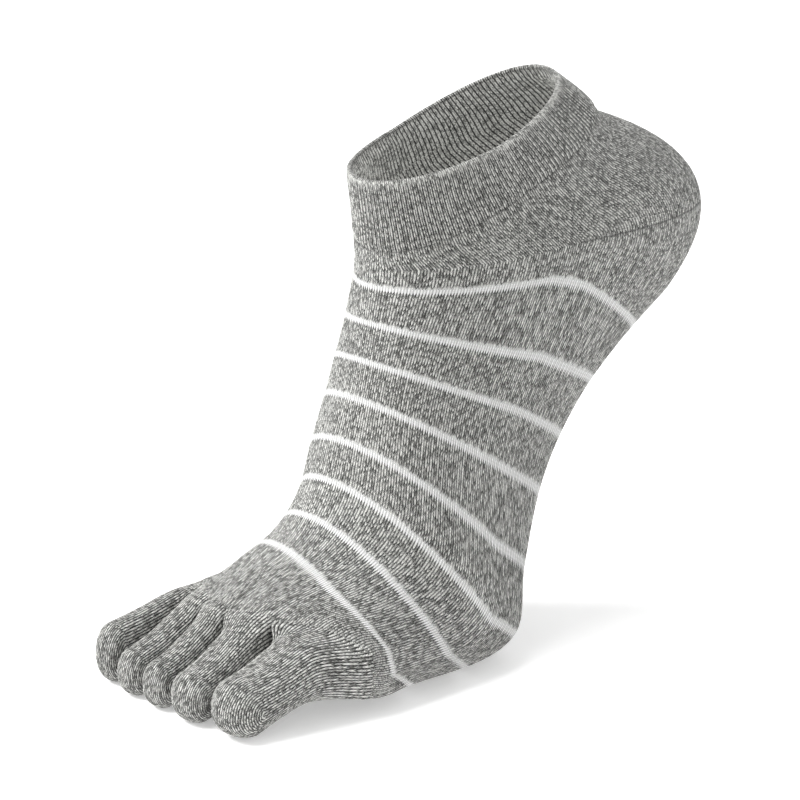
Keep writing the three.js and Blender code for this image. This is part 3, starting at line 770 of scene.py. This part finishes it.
def makePiece(name, points, faces, uvs, materials, insideFrom, sharp, fromGoreAndCuffShadow=None):
    flat = [tuple(int(i) for i in face) for group in faces for face in group]
    mesh = bpy.data.meshes.new(name)
    mesh.from_pydata(((points - mouth) / 1000).tolist(), [], flat)
    layer = mesh.uv_layers.new(name="knit")
    layer.data.foreach_set("uv", np.concatenate([group.reshape(-1) for group in uvs]).astype(np.float32))
    mesh.polygons.foreach_set("use_smooth", np.ones(len(mesh.polygons), bool))
    edges = np.zeros(len(mesh.edges) * 2, int)
    mesh.edges.foreach_get("vertices", edges)
    onEdge = np.zeros(len(points), bool)
    onEdge[list(sharp)] = True
    isSharp = onEdge[edges.reshape(-1, 2)].all(1)
    mesh.attributes.new("sharp_edge", "BOOLEAN", "EDGE").data.foreach_set("value", isSharp)
    if fromGoreAndCuffShadow is None:
        fromGoreAndCuffShadow = np.full(len(points), gore["far"])
    mesh.attributes.new("gore", "FLOAT", "POINT").data.foreach_set("value", fromGoreAndCuffShadow.astype(np.float32))
    for material in materials:
        mesh.materials.append(material)
    mesh.polygons.foreach_set("material_index", (np.arange(len(flat)) >= insideFrom).astype(np.int32))
    mesh.validate()
    piece = bpy.data.objects.new(name + "_knit", mesh)
    bpy.context.scene.collection.objects.link(piece)
    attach(piece, "root")
    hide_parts(*standsFor.get(name, [name]))
    print(name, "faces", len(mesh.polygons))
    return piece


def withoutDoubles(quads, uvs):
    # quads whose corners fall together become triangles
    left = quads[:, 0] == quads[:, 3]
    right = quads[:, 1] == quads[:, 2]
    low = quads[:, 2] == quads[:, 3]
    plain = ~(left | right | low)
    groups, maps = [quads[plain]], [uvs[plain]]
    for mask, keep in ((left, [0, 1, 2]), (right, [0, 1, 3]), (low, [0, 1, 2])):
        chosen = quads[mask][:, keep]
        a, b, c = chosen.T
        good = (a != b) & (b != c) & (a != c)
        groups.append(chosen[good])
        maps.append(uvs[mask][:, keep][good])
    return groups, maps


def waleRelief(piece, own, height):
    # how far each point stands out of the skin, and its distance from a gore line or from the cuff's lower
    # edge, where painted shadow lies
    raised = np.zeros(len(skinPoints))
    fromGoreAndCuffShadow = np.full(len(skinPoints), gore["far"])
    for patch in own:
        ids, u = patch["ids"], patch["u"]
        if piece in ("foot", "heel_pocket"):
            ridge = height * np.sin(math.pi * u)        # these columns are too wide for single wales
        else:
            ridge = height * np.cos(2 * math.pi * u)
        if "gore" in patch:
            if "edgeLine" not in patch:
                ridge = np.where(patch["gore"] < gore["groove"], -height, ridge)
            fromGoreAndCuffShadow[ids] = np.minimum(fromGoreAndCuffShadow[ids], patch["gore"])
        raised[ids] = ridge
    if piece != "foot":
        raised[crotchIds] = relief["crotch"]
    return raised, fromGoreAndCuffShadow


def edgeFaces(patch, r, order, outer, inner):
    # join the outer skin's edge to the inner skin's, which has fewer columns
    line, u, v = patch["ids"][r], patch["u"][r], patch["v"][r]
    faces, maps = [], []
    for a, b in zip(patch["columns"][:-1], patch["columns"][1:]):
        middle = (a + b + 1) // 2
        for c in range(a, b):
            near = a if c < middle else b
            faces.append([outer[line[c + 1]], outer[line[c]], inner[line[near]]][::order])
            maps.append([[u[c + 1], v[c + 1]], [u[c], v[c]], [u[near], v[near]]][::order])
        faces.append([outer[line[middle]], inner[line[a]], inner[line[b]]][::order])
        maps.append([[u[middle], v[middle]], [u[a], v[a]], [u[b], v[b]]][::order])
    return np.array(faces), np.array(maps)


def buildShell(piece, wall, height, material):
    # outer skin with its wales raised, a plainer inner skin, and the edges between them
    own = [p for p in patches if p["piece"] == piece]
    quads = np.vstack([quadsOf(p["ids"]) for p in own])
    normals = skinNormals.copy()
    if piece != "foot":
        normals[crotchIds] = pointNormals(skinPoints, quads)[crotchIds]
    raised, fromGoreAndCuffShadow = waleRelief(piece, own, height)
    used = np.unique(quads)
    outer = np.full(len(skinPoints), -1)
    outer[used] = np.arange(len(used))
    inner = np.full(len(skinPoints), -1)
    faces, maps, border = [], [], []
    for patch in own:
        rowCount, columnCount = patch["ids"].shape
        patch["rows"] = sorted({*range(0, rowCount, patch["inside"]), rowCount - 1})
        patch["columns"] = sorted({*range(0, columnCount, insideStep["column"]), columnCount - 1})
        patch["uv"] = np.stack([patch["u"], patch["v"]], -1)
        for group, uvGroup in zip(*withoutDoubles(quadsOf(patch["ids"]), quadsOf(patch["uv"]))):
            faces.append(outer[group])
            maps.append(uvGroup)
    insideFrom = sum(len(group) for group in faces)
    picks = [np.ix_(patch["rows"], patch["columns"]) for patch in own]
    innerIds = np.unique(np.concatenate([p["ids"][pick].reshape(-1) for p, pick in zip(own, picks)]))
    inner[innerIds] = len(used) + np.arange(len(innerIds))
    for patch, pick in zip(own, picks):
        for group, uvGroup in zip(*withoutDoubles(quadsOf(patch["ids"][pick]), quadsOf(patch["uv"][pick]))):
            faces.append(inner[group][:, ::-1])
            maps.append(uvGroup[:, ::-1])
        for flag, r, order in (("top", 0, 1), ("bottom", -1, -1)):
            if patch.get(flag):
                edge, edgeMap = edgeFaces(patch, r, order, outer, inner)
                faces.append(edge)
                maps.append(edgeMap)
                line = patch["ids"][r]
                border.extend([*outer[line], *inner[line[patch["columns"]]]])
    points = np.vstack([skinPoints[used] + normals[used] * raised[used, None],
                        skinPoints[innerIds] - normals[innerIds] * wall])
    distance = np.r_[fromGoreAndCuffShadow[used], np.full(len(innerIds), gore["far"])]
    return makePiece(piece, points, faces, maps, [material, insideKnit], insideFrom, border,
                     distance)


def buildCuff():
    # the double band: up its outside, over the folded rim, down its inside
    grid = wrapRows(cuffIds)[:, :-1]
    points = skinPoints[grid]
    normals = skinNormals[grid]
    rows = cuff["rows"]
    run = cuffRun
    fromEdge = run[-1] - run
    proud = mix(-cuff["edgeTuck"], cuff["proud"], ease(fromEdge / cuff["edge"]))
    fromRim = ease(run / cuff["rimDepth"])
    crest = np.sin(math.pi * waleOf[:-1]) * fromRim     # wales stand up in pairs
    wall = mix(cuff["rimWall"], cuff["wall"], fromRim)
    outside = points + normals * (proud + relief["cuff"] * crest)[..., None]
    inside = points - normals * (wall + relief["cuffInside"] * crest)[..., None]
    up = points[0] - points[1]
    up /= np.linalg.norm(up, axis=1, keepdims=True)
    centre = (outside[0] + inside[0]) / 2
    across = (outside[0] - inside[0]) / 2
    radius = np.linalg.norm(across, axis=1, keepdims=True)
    lip = []
    for i in range(1, cuff["lipRows"]):
        turn = math.pi * i / cuff["lipRows"]
        lip.append(centre + across * math.cos(turn) + up * radius * math.sin(turn) * cuff["lipRound"])
    strip = np.concatenate([outside[::-1], np.array(lip), inside])
    ids = np.arange(strip.shape[0] * around).reshape(-1, around)
    ids = np.hstack([ids, ids[:, :1]])
    downOut = run[::-1] / course
    overLip = -np.arange(1, cuff["lipRows"])[:, None] * cuff["lipCourse"] * np.ones(around)
    downIn = run / course + cuff["insideStart"]
    v = np.concatenate([downOut, overLip, downIn])
    v = np.hstack([v, v[:, :1]])
    u = np.repeat(waleOf[None], len(v), 0)
    uv = np.stack([u, v], -1)
    quads, quadUv = quadsOf(ids)[:, ::-1], quadsOf(uv)[:, ::-1]
    lowerEdge, lowerUv = quadsOf(np.stack([ids[0], ids[-1]])), quadsOf(np.stack([uv[0], uv[-1]]))
    border = np.r_[ids[0], ids[-1]]
    outsideFaces = (rows + cuff["lipRows"]) * around
    return makePiece("cuff", strip.reshape(-1, 3), [quads, lowerEdge], [quadUv, lowerUv],
                     [cuffKnit, insideKnit], outsideFaces, border)


buildCuff()
buildShell("foot", walls["foot"], relief["foot"], footKnit)
buildShell("heel_pocket", walls["heel"], relief["heel"], heelKnit)
for row in toeRows:
    buildShell(row[0], walls["toe"], relief["toe"], toeKnit)

# plain pale floor just under the sock, and soft light; metres and watts
studio = {
    "floor": "#fbfbfb",
    "floorRoughness": 0.9,
    "floorGlow": 0.35,      # lifts the shadow towards the photograph's white ground
    "floorSize": 6.0,
    "world": "#ffffff",
    "worldStrength": 0.66,
    "aim": (0, -0.01, -0.07),
    "lights": {
        "key": {"place": (-0.9, -0.9, 1.0), "size": 0.7, "power": 27.0},
        "top": {"place": (-0.15, -0.3, 1.3), "size": 0.6, "power": 10.0},
        "fill": {"place": (1.1, -0.3, 0.5), "size": 0.9, "power": 0.5},
    },
}


# matt white card, rolled smooth: even and without gloss, so that only the sock has a surface to look at
def paleFloor():
    material = bpy.data.materials.new("matt_white_card")
    material.use_nodes = True
    tree = material.node_tree
    shader = tree.nodes["Principled BSDF"]
    shader.inputs["Base Color"].default_value = colour(studio["floor"])
    shader.inputs["Roughness"].default_value = studio["floorRoughness"]
    shader.inputs["Emission Color"].default_value = colour(studio["floor"])
    shader.inputs["Emission Strength"].default_value = studio["floorGlow"]
    half = studio["floorSize"] / 2
    low = cadBox[0][2] - relief["toe"] / 1000    # under the wales that stand proud of the soles
    mesh = bpy.data.meshes.new("floor")
    mesh.from_pydata([(-half, -half, low), (half, -half, low), (half, half, low), (-half, half, low)],
                     [], [(0, 1, 2, 3)])
    mesh.materials.append(material)
    floor = bpy.data.objects.new("floor", mesh)
    bpy.context.scene.collection.objects.link(floor)


paleFloor()

# camera: the photograph's view, a long lens from the big toe's side and a little above
view = {
    "azimuth": 46.0,
    "elevation": 17.5,
    "distance": 1.2,
    "target": (0, -16.4, -63.0),       # mm, a point inside the ankle
    "targetPixel": (414, 347),
    "pixelsPerMm": 3.5,
    "imageSize": 800,
    "sensor": 36.0,
    "farClip": 20,
}


def addCamera():
    azimuth, elevation = math.radians(view["azimuth"]), math.radians(view["elevation"])
    back = Vector((math.sin(azimuth) * math.cos(elevation), -math.cos(azimuth) * math.cos(elevation),
                   math.sin(elevation)))
    right = Vector((math.cos(azimuth), math.sin(azimuth), 0))
    up = back.cross(right)
    target = Vector(view["target"]) / 1000
    camera = bpy.data.cameras.new("camera")
    camera.sensor_width = view["sensor"]
    camera.lens = view["pixelsPerMm"] * view["distance"] * 1000 / view["imageSize"] * view["sensor"]
    middle = view["imageSize"] / 2
    camera.shift_x = (middle - view["targetPixel"][0]) / view["imageSize"]
    camera.shift_y = (view["targetPixel"][1] - middle) / view["imageSize"]
    camera.clip_end = view["farClip"]
    holder = bpy.data.objects.new("camera", camera)
    matrix = Matrix((right, up, back)).transposed().to_4x4()
    matrix.translation = target + back * view["distance"]
    holder.matrix_world = matrix
    bpy.context.scene.collection.objects.link(holder)
    bpy.context.scene.camera = holder


addCamera()

for name, lamp in studio["lights"].items():
    light = bpy.data.lights.new(name, "AREA")
    light.shape = "DISK"
    light.size = lamp["size"]
    light.energy = lamp["power"]
    holder = bpy.data.objects.new(name, light)
    holder.location = lamp["place"]
    toSock = Vector(studio["aim"]) - Vector(lamp["place"])
    holder.rotation_euler = toSock.to_track_quat("-Z", "Y").to_euler()
    bpy.context.scene.collection.objects.link(holder)
world = bpy.data.worlds.new("studio")
world.use_nodes = True
world.node_tree.nodes["Background"].inputs[0].default_value = colour(studio["world"])
world.node_tree.nodes["Background"].inputs[1].default_value = studio["worldStrength"]
bpy.context.scene.world = world
bpy.context.scene.view_settings.view_transform = "Standard"
